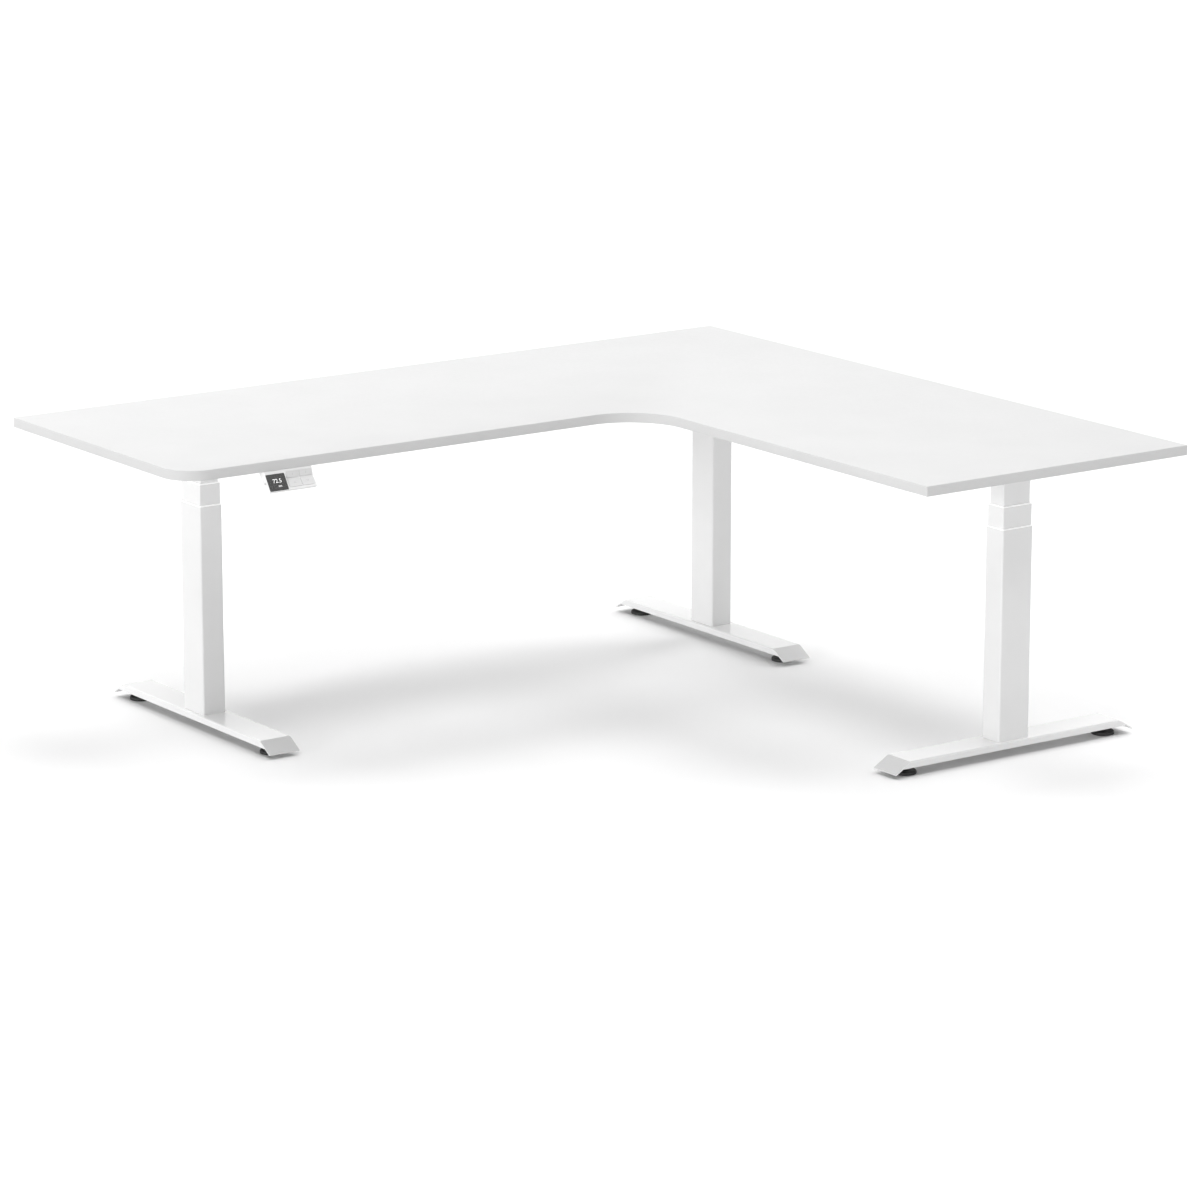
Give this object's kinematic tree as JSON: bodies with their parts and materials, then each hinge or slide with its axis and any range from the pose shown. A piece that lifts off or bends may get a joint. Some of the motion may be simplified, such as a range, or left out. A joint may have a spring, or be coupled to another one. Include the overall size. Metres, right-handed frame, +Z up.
{
  "type": "height adjustable standing desk",
  "caption": "L-shaped electric standing desk with a white one-piece top on telescopic legs with folded channel feet and a handset with a height display under the front edge.",
  "frame": {"origin": "on the floor under the centre of the desk's bounding box", "axes": "+X along the main wing towards the corner, +Y to the back, +Z up"},
  "size_m": [2.09, 1.875, 0.725],
  "materials": {
    "top_board": "white melamine-faced particle board",
    "top_band": "white edge band",
    "frame_paint": "satin white powder coat",
    "guide_plastic": "white slide bush",
    "pad_plastic": "black moulded plastic",
    "drive_steel": "oiled steel",
    "fastener_steel": "zinc plated",
    "housing_plastic": "white moulded plastic",
    "motor_can": "plated steel can",
    "control_plastic": "white moulded plastic",
    "handset_plastic": "white satin plastic",
    "key_plastic": "light grey satin plastic",
    "display_glass": "dark glossy window"
  },
  "bodies": {
    "base": {"pad_nuts": "fastener_steel", "base_bolts": "fastener_steel", "left_foot": "frame_paint", "left_outer_tube": "frame_paint", "left_lower_guide": "guide_plastic", "left_nut_post": "drive_steel", "corner_foot": "frame_paint", "corner_outer_tube": "frame_paint", "corner_lower_guide": "guide_plastic", "corner_nut_post": "drive_steel", "return_foot": "frame_paint", "return_outer_tube": "frame_paint", "return_lower_guide": "guide_plastic", "return_nut_post": "drive_steel"},
    "top": {"tabletop": "top_board", "edge_band": "top_band", "main_rail_front": "frame_paint", "main_rail_back": "frame_paint", "return_rail_left": "frame_paint", "return_rail_right": "frame_paint", "corner_plate": "frame_paint", "frame_bolts": "fastener_steel", "top_screws": "fastener_steel", "control_box": "control_plastic", "handset_case": "handset_plastic", "handset_display": "display_glass", "left_inner_tube": "frame_paint", "left_drive_housing": "housing_plastic", "left_motor": "motor_can", "left_support_arm": "frame_paint", "corner_inner_tube": "frame_paint", "corner_drive_housing": "housing_plastic", "corner_motor": "motor_can", "corner_support_arm": "frame_paint", "return_inner_tube": "frame_paint", "return_drive_housing": "housing_plastic", "return_motor": "motor_can", "return_support_arm": "frame_paint"},
    "middle_left": {"left_middle_tube": "frame_paint", "left_upper_guide": "guide_plastic", "left_nut_tube": "drive_steel"},
    "screw_left": {"left_drive_screw": "drive_steel"},
    "pad_left_front": {"left_pad_front": "pad_plastic"},
    "pad_left_back": {"left_pad_back": "pad_plastic"},
    "middle_corner": {"corner_middle_tube": "frame_paint", "corner_upper_guide": "guide_plastic", "corner_nut_tube": "drive_steel"},
    "screw_corner": {"corner_drive_screw": "drive_steel"},
    "pad_corner_back": {"corner_pad_back": "pad_plastic"},
    "pad_corner_front": {"corner_pad_front": "pad_plastic"},
    "middle_return": {"return_middle_tube": "frame_paint", "return_upper_guide": "guide_plastic", "return_nut_tube": "drive_steel"},
    "screw_return": {"return_drive_screw": "drive_steel"},
    "pad_return_right": {"return_pad_right": "pad_plastic"},
    "pad_return_left": {"return_pad_left": "pad_plastic"},
    "key_memory_1": {"key_memory_1": "key_plastic"},
    "key_memory_2": {"key_memory_2": "key_plastic"},
    "key_up": {"key_up": "key_plastic"},
    "key_down": {"key_down": "key_plastic"}
  },
  "joints": [
    {"name": "lift", "type": "slide", "parent": "base", "child": "top", "axis": [0, 0, 1], "range_m": [-0.095, 0.55]},
    {"name": "stage_left", "type": "slide", "parent": "base", "child": "middle_left", "axis": [0, 0, 1], "range_m": [-0.0475, 0.275]},
    {"name": "spin_left", "type": "hinge", "parent": "top", "child": "screw_left", "pos_m": [-0.76, 0.545, 0.3], "axis": [0, 0, 1], "range_deg": [-2400, 12600]},
    {"name": "level_left_front", "type": "slide", "parent": "base", "child": "pad_left_front", "axis": [0, 0, -1], "range_m": [0, 0.008]},
    {"name": "level_left_back", "type": "slide", "parent": "base", "child": "pad_left_back", "axis": [0, 0, -1], "range_m": [0, 0.008]},
    {"name": "stage_corner", "type": "slide", "parent": "base", "child": "middle_corner", "axis": [0, 0, 1], "range_m": [-0.0475, 0.275]},
    {"name": "spin_corner", "type": "hinge", "parent": "top", "child": "screw_corner", "pos_m": [0.76, 0.545, 0.3], "axis": [0, 0, 1], "range_deg": [-2400, 12600]},
    {"name": "level_corner_back", "type": "slide", "parent": "base", "child": "pad_corner_back", "axis": [0, 0, -1], "range_m": [0, 0.008]},
    {"name": "level_corner_front", "type": "slide", "parent": "base", "child": "pad_corner_front", "axis": [0, 0, -1], "range_m": [0, 0.008]},
    {"name": "stage_return", "type": "slide", "parent": "base", "child": "middle_return", "axis": [0, 0, 1], "range_m": [-0.0475, 0.275]},
    {"name": "spin_return", "type": "hinge", "parent": "top", "child": "screw_return", "pos_m": [0.6525, -0.7625, 0.3], "axis": [0, 0, 1], "range_deg": [-2400, 12600]},
    {"name": "level_return_right", "type": "slide", "parent": "base", "child": "pad_return_right", "axis": [0, 0, -1], "range_m": [0, 0.008]},
    {"name": "level_return_left", "type": "slide", "parent": "base", "child": "pad_return_left", "axis": [0, 0, -1], "range_m": [0, 0.008]},
    {"name": "press_memory_1", "type": "slide", "parent": "top", "child": "key_memory_1", "axis": [0, 0.9615, -0.2747], "range_m": [0, 0.0012], "stiffness_N_per_m": 800, "springref_m": -0.0006},
    {"name": "press_memory_2", "type": "slide", "parent": "top", "child": "key_memory_2", "axis": [0, 0.9615, -0.2747], "range_m": [0, 0.0012], "stiffness_N_per_m": 800, "springref_m": -0.0006},
    {"name": "press_up", "type": "slide", "parent": "top", "child": "key_up", "axis": [0, 0.7564, -0.6542], "range_m": [0, 0.0012], "stiffness_N_per_m": 800, "springref_m": -0.0006},
    {"name": "press_down", "type": "slide", "parent": "top", "child": "key_down", "axis": [0, 0.7564, -0.6542], "range_m": [0, 0.0012], "stiffness_N_per_m": 800, "springref_m": -0.0006}
  ],
  "couplings": [
    {"joint": "stage_left", "follows": "lift", "ratio": 0.5},
    {"joint": "spin_left", "follows": "lift", "rad_per_m": 392.7},
    {"joint": "stage_corner", "follows": "lift", "ratio": 0.5},
    {"joint": "spin_corner", "follows": "lift", "rad_per_m": 392.7},
    {"joint": "stage_return", "follows": "lift", "ratio": 0.5},
    {"joint": "spin_return", "follows": "lift", "rad_per_m": 392.7}
  ]
}
